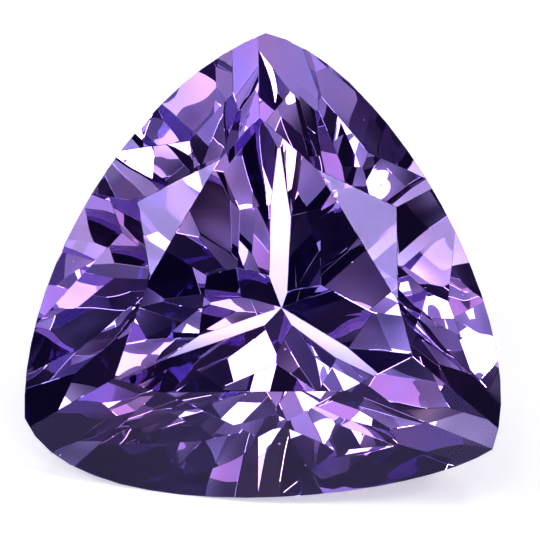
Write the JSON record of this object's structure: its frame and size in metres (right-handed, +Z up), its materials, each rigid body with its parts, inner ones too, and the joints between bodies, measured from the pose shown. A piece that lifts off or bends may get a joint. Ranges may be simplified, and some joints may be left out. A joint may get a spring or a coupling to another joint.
{
  "type": "faceted trillion-cut tanzanite gemstone",
  "caption": "Loose faceted gemstone: a bowed triangle with a flat table, a low crown and a deep pointed pavilion, violet-blue and see-through, lying on a pavilion facet.",
  "frame": {"origin": "on the resting surface, under the middle of the stone's box", "axes": "+Z up from the resting surface, -Y the side that the table leans to and faces, +X to the right as the table is looked at from the front"},
  "size_m": [0.0072, 0.0048, 0.0059],
  "materials": {
    "tanzanite_crystal": "polished, transparent violet-blue crystal"
  },
  "bodies": {
    "root": {"tanzanite": "tanzanite_crystal"}
  },
  "joints": []
}
